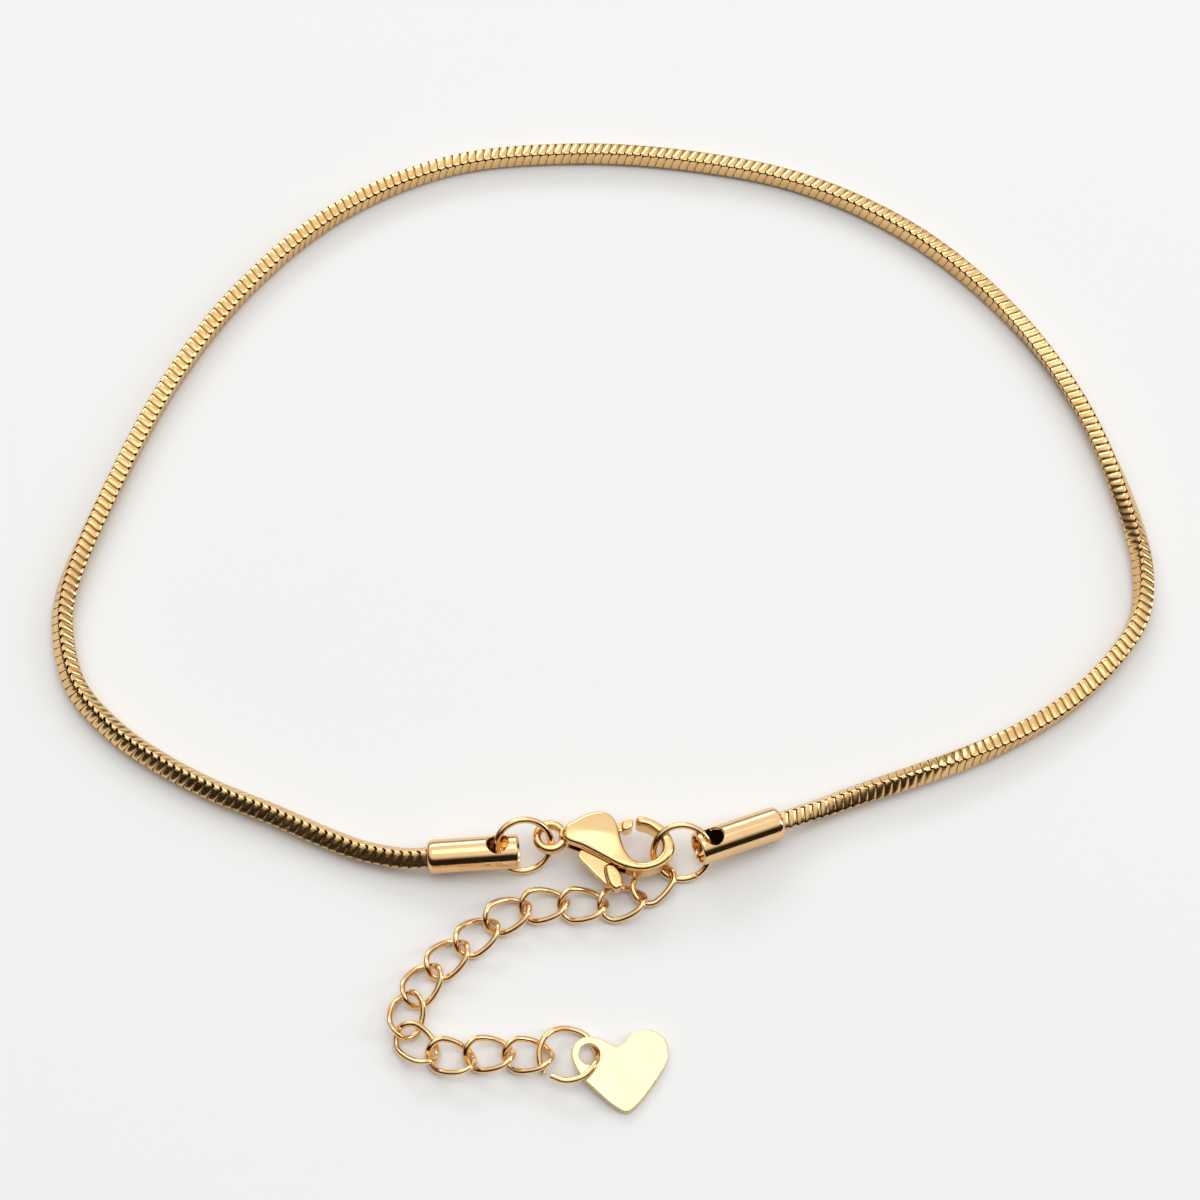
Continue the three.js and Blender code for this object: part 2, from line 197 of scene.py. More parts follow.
def wire(name: str, path: np.ndarray, radius: float, ends: Ends, sides: int = 16) -> bpy.types.Mesh:
    """Round wire along a path.

    Args:
        name: Name of the mesh.
        path: Rows along the centreline.
        radius: Radius of the wire.
        ends: Whether the wire closes on itself.
        sides: Points round the wire.

    Returns:
        The mesh.
    """
    closed = ends is Ends.JOINED
    if closed:
        tangents = np.roll(path, -1, 0) - np.roll(path, 1, 0)
    else:
        tangents = np.gradient(path, axis=0)
    tangents /= np.linalg.norm(tangents, axis=1)[:, None]
    across = np.cross(tangents[0], [0.0, 0.0, 1.0])
    if np.linalg.norm(across) < 0.1:
        across = np.cross(tangents[0], [1.0, 0.0, 0.0])
    across /= np.linalg.norm(across)
    angle = np.arange(sides) * 2 * math.pi / sides
    steps = [(i, 1.0, 0.0) for i in range(len(path))]
    if not closed:
        chamfer = 0.18 * radius
        steps = [(0, 0.82, 0.0)] + [(0, 1.0, chamfer)] + steps[1:-1]
        steps += [(len(path) - 1, 1.0, -chamfer), (len(path) - 1, 0.82, 0.0)]
    rings = []
    for i, size, shift in steps:
        t = tangents[i]
        across = across - t * np.dot(across, t)
        across /= np.linalg.norm(across)
        other = np.cross(t, across)
        ring = np.cos(angle)[:, None] * across + np.sin(angle)[:, None] * other
        rings.append(path[i] + shift * t + radius * size * ring)
    verts, faces = loops(rings, True, not closed, closed)
    return outward(new_mesh(name, verts, faces))


def turned(name: str, profile: list[tuple[float, float]], sides: int, longest: float) -> bpy.types.Mesh:
    """Closed shape turned about local X.

    Args:
        name: Name of the mesh.
        profile: Closed profile as rows of radius and distance along X.
        sides: Points round the axis.
        longest: Longest step along the profile.

    Returns:
        The mesh.
    """
    rows = []
    for a, b in zip(profile, profile[1:] + profile[:1]):
        steps = max(1, math.ceil(math.dist(a, b) / longest))
        rows += [(a[0] + (b[0] - a[0]) * s / steps, a[1] + (b[1] - a[1]) * s / steps) for s in range(steps)]
    angle = np.arange(sides) * 2 * math.pi / sides
    rings = [
        np.stack([np.full(sides, x), r * np.cos(angle), r * np.sin(angle)], axis=1) for r, x in rows
    ]
    verts, faces = loops(rings, True, False, True)
    return outward(new_mesh(name, verts, faces))


def inset_line(line: np.ndarray, distance: float) -> np.ndarray:
    """Moves a closed line's points towards its inside.

    Args:
        line: Rows of x and y.
        distance: How far to move.

    Returns:
        The moved rows.
    """
    ahead = np.roll(line, -1, 0) - np.roll(line, 1, 0)
    ahead /= np.linalg.norm(ahead, axis=1)[:, None]
    x, y = line[:, 0], line[:, 1]
    area = np.sum(x * np.roll(y, -1) - np.roll(x, -1) * y)
    inner = np.stack([-ahead[:, 1], ahead[:, 0]], axis=1) * (1 if area > 0 else -1)
    return line + inner * distance


def coin(
    name: str, line: np.ndarray, bottom: float, top: float, round_top: tuple[float, float],
    round_bottom: tuple[float, float], steps: int = 6,
) -> bpy.types.Mesh:
    """Flat piece with rounded rims, cut to a closed line.

    Args:
        name: Name of the mesh.
        line: Rows of x and y.
        bottom: Height of the underside.
        top: Height of the upper side.
        round_top: How far the upper rim rounds inwards and downwards.
        round_bottom: The same for the lower rim.
        steps: Steps of each rounding.

    Returns:
        The mesh.
    """
    rings = []

    def ring(inset: float, height: float) -> None:
        """Adds one ring of the wall."""
        flat = inset_line(line, inset)
        rings.append(np.column_stack([flat, np.full(len(flat), height)]))

    turns = [a * math.pi / 2 / steps for a in range(steps + 1)]
    if round_bottom[0] > 0:
        ring(round_bottom[0] * 1.12, bottom)
        for a in reversed(turns):
            ring(round_bottom[0] * (1 - math.cos(a)), bottom + round_bottom[1] * (1 - math.sin(a)))
    else:
        ring(0, bottom)
    if round_top[0] > 0:
        for a in turns:
            ring(round_top[0] * (1 - math.cos(a)), top - round_top[1] * (1 - math.sin(a)))
        ring(round_top[0] * 1.12, top)
    else:
        ring(0, top)
    verts, faces = loops(rings, True, True)
    return outward(new_mesh(name, verts, faces))


def reamer(
    name: str, radius: float, lip: float, heights: np.ndarray, depth: float, reach: float = 0.3
) -> bpy.types.Mesh:
    """Cutter for a round hole with a softened rim, its axis on local Z.

    Args:
        name: Name of the mesh.
        radius: Radius of the hole.
        lip: Radius of the softened rim.
        heights: Height of the surface at each point round the rim.
        depth: Height at which the cutter ends below.
        reach: How far it stands above the surface.

    Returns:
        The mesh.
    """
    angle = np.arange(len(heights)) * 2 * math.pi / len(heights)
    circle = np.stack([np.cos(angle), np.sin(angle)], axis=1)
    rings = [np.column_stack([circle * radius, np.full(len(heights), depth)])]
    for turn in np.linspace(0, 75, 6) * math.pi / 180:
        wide = radius + lip * (1 - math.cos(turn))
        rings.append(np.column_stack([circle * wide, heights - lip + lip * math.sin(turn)]))
    rings.append(np.column_stack([circle * (radius + lip * 1.3), heights + 0.04]))
    rings.append(np.column_stack([circle * (radius + lip * 1.4), heights + reach]))
    verts, faces = loops(rings, True, True)
    return outward(new_mesh(name, verts, faces))


def evaluated(mesh: bpy.types.Mesh, add: callable) -> bpy.types.Mesh:
    """Runs modifiers on a mesh and returns the result as a plain mesh.

    Args:
        mesh: Mesh to start from; it is removed.
        add: Function that puts the modifiers on an object.

    Returns:
        The new mesh.
    """
    obj = bpy.data.objects.new("work", mesh)
    bpy.context.scene.collection.objects.link(obj)
    add(obj)
    bpy.context.view_layer.update()
    result = bpy.data.meshes.new_from_object(
        obj.evaluated_get(bpy.context.evaluated_depsgraph_get())
    )
    result.name = mesh.name
    bpy.data.objects.remove(obj)
    bpy.data.meshes.remove(mesh)
    return result


def cut(mesh: bpy.types.Mesh, cutter: bpy.types.Mesh, operation: str = "DIFFERENCE") -> bpy.types.Mesh:
    """Cuts one closed mesh with another.

    Args:
        mesh: Mesh to cut.
        cutter: Cutting mesh; both are removed.
        operation: Boolean operation.

    Returns:
        The new mesh.
    """
    tool = bpy.data.objects.new("tool", cutter)
    bpy.context.scene.collection.objects.link(tool)

    def add(obj: bpy.types.Object) -> None:
        """Adds the boolean."""
        boolean = obj.modifiers.new("cut", "BOOLEAN")
        boolean.operation, boolean.solver, boolean.object = operation, "EXACT", tool

    result = evaluated(mesh, add)
    bpy.data.objects.remove(tool)
    bpy.data.meshes.remove(cutter)
    return result


def cast(mesh: bpy.types.Mesh, voxel: float, passes: int) -> bpy.types.Mesh:
    """Melts overlapping solids into one soft-edged casting.

    Args:
        mesh: Overlapping closed solids.
        voxel: Size of the casting's grid.
        passes: Smoothing passes.

    Returns:
        The new mesh.
    """

    def add(obj: bpy.types.Object) -> None:
        """Adds the remesh and the smoothing."""
        remesh = obj.modifiers.new("melt", "REMESH")
        remesh.mode, remesh.voxel_size, remesh.use_smooth_shade = "VOXEL", voxel, True
        soften = obj.modifiers.new("soften", "SMOOTH")
        soften.factor, soften.iterations = 0.5, passes

    return evaluated(mesh, add)


def crisp(mesh: bpy.types.Mesh, degrees: float) -> bpy.types.Mesh:
    """Smooth shading with sharp edges where faces meet at more than an angle; returns the mesh."""
    bm = bmesh.new()
    bm.from_mesh(mesh)
    for face in bm.faces:
        face.smooth = True
    for edge in bm.edges:
        edge.smooth = len(edge.link_faces) != 2 or edge.calc_face_angle(0) < math.radians(degrees)
    bm.to_mesh(mesh)
    bm.free()
    return mesh


# ---------------------------------------------------------------- node helpers
def add_socket(tree: bpy.types.NodeTree, name: str, kind: str, into: bool = True,
               value: object = None) -> bpy.types.NodeTreeInterfaceSocket:
    """Adds a named socket to a tree's interface.

    Args:
        tree: Tree to change.
        name: Name of the socket.
        kind: Short socket type, such as Float.
        into: True for an input.
        value: Default value.

    Returns:
        The socket.
    """
    socket = tree.interface.new_socket(
        name, in_out="INPUT" if into else "OUTPUT", socket_type=f"NodeSocket{kind}"
    )
    if value is not None:
        socket.default_value = value
    return socket


def add_node(tree: bpy.types.NodeTree, kind: str, **values: object) -> bpy.types.Node:
    """Adds a node and sets its properties and input values.

    Args:
        tree: Tree to change.
        kind: Node type.
        values: Properties by name; an input's name is written with in_ before it.

    Returns:
        The node.
    """
    node = tree.nodes.new(kind)
    for key, value in values.items():
        if key.startswith("in_"):
            node.inputs[key[3:].replace("_", " ")].default_value = value
        else:
            setattr(node, key, value)
    return node


def set_input(modifier: bpy.types.NodesModifier, name: str, value: object) -> None:
    """Sets a Geometry Nodes modifier's input by its socket's identifier."""
    for item in modifier.node_group.interface.items_tree:
        if item.item_type == "SOCKET" and item.in_out == "INPUT" and item.name == name:
            modifier[item.identifier] = value
            return
    raise KeyError(name)


# ---------------------------------------------------------------- finishes
def tone_group() -> bpy.types.NodeTree:
    """Shader group: slow drift of the plating's tone, as a mask from 0 to 1."""
    tree = bpy.data.node_groups.new("PlatingTone", "ShaderNodeTree")
    add_socket(tree, "Scale", "Float", value=400.0)
    add_socket(tree, "Contrast", "Float", value=1.0)
    add_socket(tree, "Mask", "Float", into=False)
    start = add_node(tree, "NodeGroupInput")
    end = add_node(tree, "NodeGroupOutput")
    place = add_node(tree, "ShaderNodeTexCoord")
    noise = add_node(tree, "ShaderNodeTexNoise", in_Detail=3.0, in_Roughness=0.55)
    centre = add_node(tree, "ShaderNodeMath", operation="SUBTRACT")
    centre.inputs[1].default_value = 0.5
    widen = add_node(tree, "ShaderNodeMath", operation="MULTIPLY")
    back = add_node(tree, "ShaderNodeMath", operation="ADD", use_clamp=True)
    back.inputs[1].default_value = 0.5
    link = tree.links.new
    link(place.outputs["Object"], noise.inputs["Vector"])
    link(start.outputs["Scale"], noise.inputs["Scale"])
    link(noise.outputs["Fac"], centre.inputs[0])
    link(centre.outputs[0], widen.inputs[0])
    link(start.outputs["Contrast"], widen.inputs[1])
    link(widen.outputs[0], back.inputs[0])
    link(back.outputs[0], end.inputs["Mask"])
    return tree


def surface_group() -> bpy.types.NodeTree:
    """Shader group: hairline rubs and fine unevenness, as a height and a mask of the rubs."""
    tree = bpy.data.node_groups.new("PlatingSurface", "ShaderNodeTree")
    add_socket(tree, "Rub Scale", "Float", value=900.0)
    add_socket(tree, "Rub Depth", "Float", value=0.4)
    add_socket(tree, "Orange Peel", "Float", value=0.5)
    add_socket(tree, "Height", "Float", into=False)
    add_socket(tree, "Rubs", "Float", into=False)
    start = add_node(tree, "NodeGroupInput")
    end = add_node(tree, "NodeGroupOutput")
    place = add_node(tree, "ShaderNodeTexCoord")
    stretch = add_node(tree, "ShaderNodeMapping")
    stretch.inputs["Rotation"].default_value = (0.5, 0.3, 0.6)
    stretch.inputs["Scale"].default_value = (1.0, 9.0, 9.0)
    hair = add_node(tree, "ShaderNodeTexNoise", in_Detail=2.0, in_Distortion=0.3)
    thin = add_node(tree, "ShaderNodeMapRange")
    thin.inputs["From Min"].default_value = 0.58
    thin.inputs["From Max"].default_value = 0.72
    peel = add_node(tree, "ShaderNodeTexNoise", in_Scale=2600.0, in_Detail=2.0)
    deep = add_node(tree, "ShaderNodeMath", operation="MULTIPLY")
    rough = add_node(tree, "ShaderNodeMath", operation="MULTIPLY")
    total = add_node(tree, "ShaderNodeMath", operation="SUBTRACT")
    link = tree.links.new
    link(place.outputs["Object"], stretch.inputs["Vector"])
    link(stretch.outputs["Vector"], hair.inputs["Vector"])
    link(start.outputs["Rub Scale"], hair.inputs["Scale"])
    link(hair.outputs["Fac"], thin.inputs["Value"])
    link(place.outputs["Object"], peel.inputs["Vector"])
    link(thin.outputs["Result"], deep.inputs[0])
    link(start.outputs["Rub Depth"], deep.inputs[1])
    link(peel.outputs["Fac"], rough.inputs[0])
    link(start.outputs["Orange Peel"], rough.inputs[1])
    link(rough.outputs[0], total.inputs[0])
    link(deep.outputs[0], total.inputs[1])
    link(total.outputs[0], end.inputs["Height"])
    link(thin.outputs["Result"], end.inputs["Rubs"])
    return tree


@dataclass(frozen=True)
class Gold:
    """A gold-coloured plated finish.

    Colours are linear RGB. The recess colour is painted shade: a dark colour laid deep between parts,
    reached where the mesh's "raised" attribute falls to 0; without one the piece has no such attribute.
    """

    slot: str
    light: Point
    warm: Point
    roughness: float
    spread: float
    tone_scale: float
    tone_contrast: float
    rub_scale: float
    rub_depth: float
    orange_peel: float
    bump: float
    recess_shade: Point | None = None

    def material(self, groups: dict[str, bpy.types.NodeTree]) -> bpy.types.Material:
        """Builds the material.

        Args:
            groups: The shared shader groups by name.

        Returns:
            The material.
        """
        made = bpy.data.materials.new(self.slot)
        made.use_nodes = True
        tree = made.node_tree
        tree.nodes.clear()
        link = tree.links.new
        out = add_node(tree, "ShaderNodeOutputMaterial")
        metal = add_node(tree, "ShaderNodeBsdfPrincipled", in_Metallic=1.0)
        tone = add_node(tree, "ShaderNodeGroup", node_tree=groups["tone"])
        tone.inputs["Scale"].default_value = self.tone_scale
        tone.inputs["Contrast"].default_value = self.tone_contrast
        skin = add_node(tree, "ShaderNodeGroup", node_tree=groups["surface"])
        skin.inputs["Rub Scale"].default_value = self.rub_scale
        skin.inputs["Rub Depth"].default_value = self.rub_depth
        skin.inputs["Orange Peel"].default_value = self.orange_peel
        blend = add_node(tree, "ShaderNodeMix", data_type="RGBA")
        blend.inputs[6].default_value = (*self.light, 1.0)
        blend.inputs[7].default_value = (*self.warm, 1.0)
        rough = add_node(tree, "ShaderNodeMapRange")
        rough.inputs["To Min"].default_value = self.roughness - self.spread
        rough.inputs["To Max"].default_value = self.roughness + self.spread
        worn = add_node(tree, "ShaderNodeMath", operation="MULTIPLY_ADD")
        worn.inputs[1].default_value = self.spread
        bump = add_node(tree, "ShaderNodeBump", in_Strength=self.bump, in_Distance=2e-5)
        link(tone.outputs["Mask"], blend.inputs["Factor"])
        link(tone.outputs["Mask"], rough.inputs["Value"])
        link(skin.outputs["Rubs"], worn.inputs[0])
        link(rough.outputs["Result"], worn.inputs[2])
        link(skin.outputs["Height"], bump.inputs["Height"])
        link(bump.outputs["Normal"], metal.inputs["Normal"])
        link(worn.outputs[0], metal.inputs["Roughness"])
        colour = blend.outputs[2]
        # Painted shade: the colour is drawn towards the dark recess colour in the grooves between plates, where the
        # raised mask falls to 0.
        if self.recess_shade is not None:
            raised = add_node(tree, "ShaderNodeAttribute", attribute_name="raised")
            ramp = add_node(tree, "ShaderNodeMapRange", interpolation_type="SMOOTHSTEP")
            ramp.inputs["From Min"].default_value = 0.05
            ramp.inputs["From Max"].default_value = 0.75
            sink = add_node(tree, "ShaderNodeMix", data_type="RGBA")
            sink.inputs[6].default_value = (*self.recess_shade, 1.0)
            link(raised.outputs["Fac"], ramp.inputs["Value"])
            link(ramp.outputs["Result"], sink.inputs["Factor"])
            link(colour, sink.inputs[7])
            colour = sink.outputs[2]
        link(colour, metal.inputs["Base Color"])
        link(metal.outputs["BSDF"], out.inputs["Surface"])
        return made


# The chain's recess colour is painted shade for the grooves between its plates.
CHAIN_GOLD = Gold(
    slot="chain_gold", light=(0.9, 0.61, 0.29), warm=(0.78, 0.48, 0.2), roughness=0.2,
    spread=0.05, tone_scale=260.0, tone_contrast=1.6, rub_scale=1500.0, rub_depth=0.5,
    orange_peel=0.3, bump=0.25, recess_shade=(0.16, 0.075, 0.022),
)
POLISHED_GOLD = Gold(
    slot="polished_gold", light=(0.93, 0.66, 0.36), warm=(0.84, 0.52, 0.24), roughness=0.13,
    spread=0.03, tone_scale=330.0, tone_contrast=1.4, rub_scale=700.0, rub_depth=0.35,
    orange_peel=0.25, bump=0.14,
)
CLASP_GOLD = Gold(
    slot="clasp_gold", light=(0.93, 0.67, 0.35), warm=(0.86, 0.53, 0.22), roughness=0.17,
    spread=0.04, tone_scale=420.0, tone_contrast=1.5, rub_scale=600.0, rub_depth=0.5,
    orange_peel=0.6, bump=0.2,
)
TAG_GOLD = Gold(
    slot="tag_gold", light=(0.93, 0.76, 0.44), warm=(0.88, 0.67, 0.35), roughness=0.24,
    spread=0.05, tone_scale=300.0, tone_contrast=1.5, rub_scale=500.0, rub_depth=0.5,
    orange_peel=0.3, bump=0.12,
)


@dataclass
class Workshop:
    materials: dict[str, bpy.types.Material] = field(default_factory=dict)

    def open(self) -> None:
        """Builds the shader groups and every finish."""
        groups = {"tone": tone_group(), "surface": surface_group()}
        for finish in (CHAIN_GOLD, POLISHED_GOLD, CLASP_GOLD, TAG_GOLD):
            self.materials[finish.slot] = finish.material(groups)

    def deliver(self, name: str, mesh: bpy.types.Mesh, finish: Gold, body: Body, *nodes: str) -> None:
        """Args:
            name: Name of the piece.
            mesh: Mesh in millimetres, in the drawing's axes.
            finish: Its finish.
            body: The body that it rides on.
            nodes: CAD nodes that it stands for.
        """
        mesh.name = name
        mesh.transform(Matrix.Scale(MM, 4) @ Matrix.Translation(Vector(-CENTRE)))
        mesh.materials.clear()
        mesh.materials.append(self.materials[finish.slot])
        mesh.polygons.foreach_set("material_index", [0] * len(mesh.polygons))
        mesh.update()
        piece = bpy.data.objects.new(name, mesh)
        bpy.context.scene.collection.objects.link(piece)
        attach(piece, body.value)
        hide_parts(*nodes)
        mesh.calc_loop_triangles()
        LOG.info("%s: %d triangles", name, len(mesh.loop_triangles))


# ---------------------------------------------------------------- snake chain
@dataclass
class SnakeChain:
    """Square snake chain: slanted bent plates threaded along a route."""

    side: float = 1.3
    chamfer: float = 0.16
    plates: int = 316
    slant: float = 0.22
    groove: float = 0.07
    route: tuple[Point, ...] = (
        (-9.8, -22.78, 1.36), (-10.8, -22.9, 1.25), (-12.4, -23.05, 1.08), (-15.2, -22.75, 0.86),
        (-18.3, -21.9, 0.5), (-22.5, -20.4, 0.5), (-26.8, -19.0, 0.5), (-31.0, -17.2, 0.5),
        (-35.0, -14.8, 0.5), (-38.4, -11.4, 0.5), (-40.1, -6.7, 0.5), (-40.2, -3.2, 0.5),
        (-38.2, 5.6, 0.5), (-35.1, 15.5, 0.5), (-30.5, 24.8, 0.5), (-24.0, 32.8, 0.5),
        (-15.6, 38.3, 0.5), (-6.0, 40.6, 0.5), (3.9, 41.0, 0.5), (13.6, 39.7, 0.5),
        (22.7, 35.7, 0.5), (30.5, 29.2, 0.5), (36.5, 20.9, 0.5), (40.4, 11.4, 0.5),
        (41.5, 6.4, 0.5), (41.3, 2.4, 0.5), (39.6, -1.1, 0.5), (36.4, -5.1, 0.5),
        (32.7, -8.2, 0.5), (28.7, -10.7, 0.5), (24.5, -12.8, 0.5), (20.4, -14.7, 0.5),
        (17.2, -16.3, 0.9), (14.5, -17.7, 1.25), (13.6, -18.17, 1.36),
    )
    roll: tuple[tuple[float, float], ...] = (
        (0, 54), (15, 50), (27, 40), (36, 38), (43, 25), (53, 6), (75, -1), (90, -4), (104, -12),
        (119, -7), (131, -13), (139, -4), (146, 15), (156, 25), (162, 43), (170, 76), (178, 86),
        (185, 95), (191, 117), (198, 143), (205, 156),
    )

    def guide(self) -> bpy.types.Mesh:
        """Line along the chain's middle; each point's "face" says where one face looks."""
        line, length = spread_evenly(spline(np.array(self.route), False, 60), 1400)
        tangent = np.gradient(line, axis=0)
        tangent /= np.linalg.norm(tangent, axis=1)[:, None]
        inward = np.cross(tangent, [0.0, 0.0, 1.0])
        inward /= np.linalg.norm(inward, axis=1)[:, None]
        over = np.cross(inward, tangent)
        runs, rolls = zip(*self.roll)
        lean = np.radians(np.interp(np.linspace(0, length, len(line)), runs, rolls))[:, None]
        face = over * np.cos(lean) + inward * np.sin(lean)
        side = np.cross(face, tangent)
        half, flat = self.side / 2, self.side / 2 - self.chamfer
        corners = [(half, flat), (flat, half)]
        drop = np.max(
            [a * abs(side[:, 2]) + b * abs(face[:, 2]) for a, b in corners], axis=0
        )
        line[:, 2] = np.maximum(line[:, 2], drop)
        mesh = bpy.data.meshes.new("chain_guide")
        mesh.from_pydata([tuple(p) for p in line], [(i, i + 1) for i in range(len(line) - 1)], [])
        looks = mesh.attributes.new("face", "FLOAT_VECTOR", "POINT")
        looks.data.foreach_set("vector", face.ravel())
        return mesh

    def plate(self) -> bpy.types.Mesh:
        """One plate: a short closed band whose ends slant across each face and draw back at the corners."""
        half, flat = self.side / 2, self.side / 2 - self.chamfer
        corner = half - 0.42 * self.chamfer
        rows = []  # x, y, half length, shift along the chain
        for k in range(4):
            turn = k * math.pi / 2
            c, s = math.cos(turn), math.sin(turn)
            for along, high, reach in ((-1, 0.99, 0.3), (-0.5, 1, 0.332), (0.5, 1, 0.332), (1, 0.99, 0.3)):
                x, y = flat * along, half * high
                rows.append((x * c + y * s, -x * s + y * c, reach, self.slant / 2 * along))
            rows.append((corner * (c + s), corner * (c - s), 0.2, 0.0))
        table = np.array(rows)
        sink = 1 - self.groove / half
        rings, raised = [], []
        for size, inner, level in ((sink, 0.0, 0.0), (1.0, 0.045, 1.0)):
            rings.append(np.column_stack([table[:, :2] * size, table[:, 3] - table[:, 2] + inner]))
            raised += [level] * len(table)
        for size, inner, level in ((1.0, 0.045, 1.0), (sink, 0.0, 0.0)):
            rings.append(np.column_stack([table[:, :2] * size, table[:, 3] + table[:, 2] - inner]))
            raised += [level] * len(table)
        verts, faces = loops(rings, True, False)
        n = len(table)
        verts = np.vstack([verts, [0, 0, -0.25], [0, 0, 0.25]])
        for k in range(n):
            faces.append((k, (k + 1) % n, 4 * n))
            faces.append((3 * n + k, 3 * n + (k + 1) % n, 4 * n + 1))
        mesh = outward(new_mesh("plate", verts, faces))
        # The "raised" mask places the painted shade: 1 on the plate's full rows, 0 at its sunk edges and end faces.
        mark = mesh.attributes.new("raised", "FLOAT", "POINT")
        mark.data.foreach_set("value", raised + [0.0, 0.0])
        return crisp(mesh, 60)

    def tree(self) -> bpy.types.NodeTree:
        """Geometry Nodes tree that threads plates on the guide."""
        tree = bpy.data.node_groups.new("ThreadedPlates", "GeometryNodeTree")
        add_socket(tree, "Geometry", "Geometry")
        add_socket(tree, "Plate", "Object")
        add_socket(tree, "Plates", "Int", value=self.plates)
        add_socket(tree, "Plate Size", "Float", value=1.0)
        add_socket(tree, "Material", "Material")
        add_socket(tree, "Geometry", "Geometry", into=False)
        start, end = add_node(tree, "NodeGroupInput"), add_node(tree, "NodeGroupOutput")
        curve = add_node(tree, "GeometryNodeMeshToCurve")
        spread = add_node(tree, "GeometryNodeCurveToPoints", mode="COUNT")
        looks = add_node(tree, "GeometryNodeInputNamedAttribute", data_type="FLOAT_VECTOR", in_Name="face")
        turn = add_node(tree, "FunctionNodeAxesToRotation", primary_axis="Z", secondary_axis="Y")
        shape = add_node(tree, "GeometryNodeObjectInfo", transform_space="ORIGINAL")
        place = add_node(tree, "GeometryNodeInstanceOnPoints")
        real = add_node(tree, "GeometryNodeRealizeInstances")
        dress = add_node(tree, "GeometryNodeSetMaterial")
        link = tree.links.new
        link(start.outputs["Geometry"], curve.inputs["Mesh"])
        link(curve.outputs["Curve"], spread.inputs["Curve"])
        link(start.outputs["Plates"], spread.inputs["Count"])
        link(spread.outputs["Tangent"], turn.inputs["Primary Axis"])
        link(looks.outputs["Attribute"], turn.inputs["Secondary Axis"])
        link(start.outputs["Plate"], shape.inputs["Object"])
        link(spread.outputs["Points"], place.inputs["Points"])
        link(shape.outputs["Geometry"], place.inputs["Instance"])
        link(turn.outputs["Rotation"], place.inputs["Rotation"])
        link(start.outputs["Plate Size"], place.inputs["Scale"])
        link(place.outputs["Instances"], real.inputs["Geometry"])
        link(real.outputs["Geometry"], dress.inputs["Geometry"])
        link(start.outputs["Material"], dress.inputs["Material"])
        link(dress.outputs["Geometry"], end.inputs["Geometry"])
        return tree

    def build(self, shop: Workshop) -> None:
        """Threads the plates and delivers the chain."""
        plate = bpy.data.objects.new("plate", self.plate())
        bpy.context.scene.collection.objects.link(plate)

        def add(obj: bpy.types.Object) -> None:
            """Adds the tree with its sizes."""
            nodes = obj.modifiers.new("plates", "NODES")
            nodes.node_group = self.tree()
            set_input(nodes, "Plate", plate)
            set_input(nodes, "Plates", self.plates)
            set_input(nodes, "Plate Size", 1.0)
            set_input(nodes, "Material", shop.materials[CHAIN_GOLD.slot])

        mesh = evaluated(self.guide(), add)
        bpy.data.objects.remove(plate)
        shop.deliver("snake_chain_plates", mesh, CHAIN_GOLD, Body.ANKLET, "snake_chain")


# ---------------------------------------------------------------- jump rings and caps
@dataclass
class JumpRing:
    """A closed round-wire ring, with the fine line where its ends meet."""

    name: str
    centre: Point
    radius: float
    tilt: float
    lean: float
    yaw: float
    seam: float
    thickness: float = 0.25

    def circle(self, seam: float = 0.0) -> np.ndarray:
        """Rows along the ring's centreline, with an opening of seam degrees."""
        turn = (
            Matrix.Rotation(math.radians(self.yaw), 3, "Z")
            @ Matrix.Rotation(math.radians(self.lean), 3, "Y")
            @ Matrix.Rotation(math.radians(self.tilt), 3, "X")
        )
        start = self.seam + seam / 2
        angle = np.radians(np.linspace(start, start + 360 - seam, 121))
        if seam == 0:
            angle = angle[:-1]
        flat = np.stack([np.cos(angle), np.sin(angle), np.zeros_like(angle)], axis=1) * self.radius
        return flat @ np.array(turn).T + np.array(self.centre)

    def room(self, clearance: float) -> bpy.types.Mesh:
        """Solid that clears the wire where it passes through a neighbour."""
        return wire("room", self.circle(), self.thickness + clearance, Ends.JOINED, 16)

    def build(self, shop: Workshop) -> None:
        """Bends the ring and delivers it."""
        mesh = crisp(wire(self.name, self.circle(0.7), self.thickness, Ends.CUT, 20), 50)
        shop.deliver(f"{self.name}_wire", mesh, POLISHED_GOLD, Body.ANKLET, self.name)


